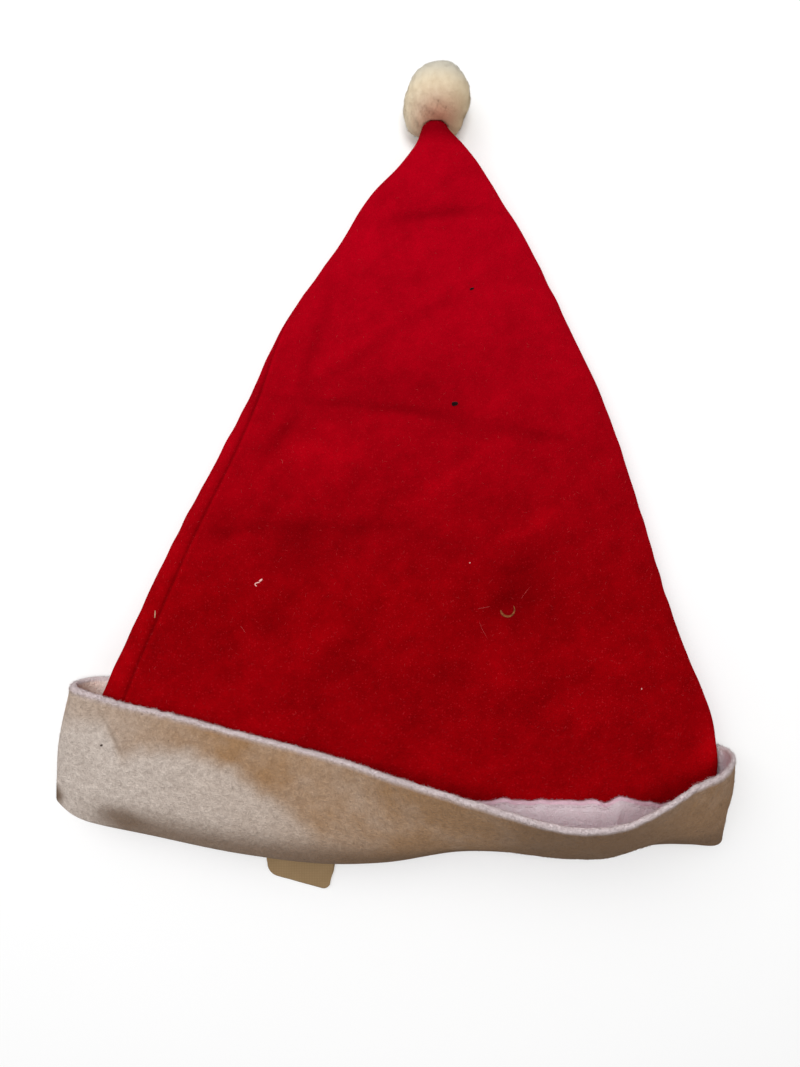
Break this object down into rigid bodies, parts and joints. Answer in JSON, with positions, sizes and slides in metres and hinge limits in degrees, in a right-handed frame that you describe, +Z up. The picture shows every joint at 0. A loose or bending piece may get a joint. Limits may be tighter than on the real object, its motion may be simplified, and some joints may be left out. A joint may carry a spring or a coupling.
{
  "type": "santa hat",
  "caption": "Pointed felt Santa hat lying on its back: hollow crown, turned-up cuff round an open mouth, pompom on the tip and a bare sewn-in tab.",
  "frame": {"origin": "on the surface that the hat lies on, at the middle of its footprint", "axes": "+Y from the mouth towards the tip, +Z up out of the front of the hat, +X to the right seen from above"},
  "size_m": [0.2955, 0.3651, 0.0577],
  "materials": {
    "red_felt": "napped red felt",
    "white_felt": "napped white felt, browned by age",
    "pompom_fibre": "cut cream fibre",
    "tab_cloth": "plain woven tape"
  },
  "bodies": {
    "root": {"crown": "red_felt", "cuff": "white_felt", "pompom": "pompom_fibre", "tab": "tab_cloth"}
  },
  "joints": []
}
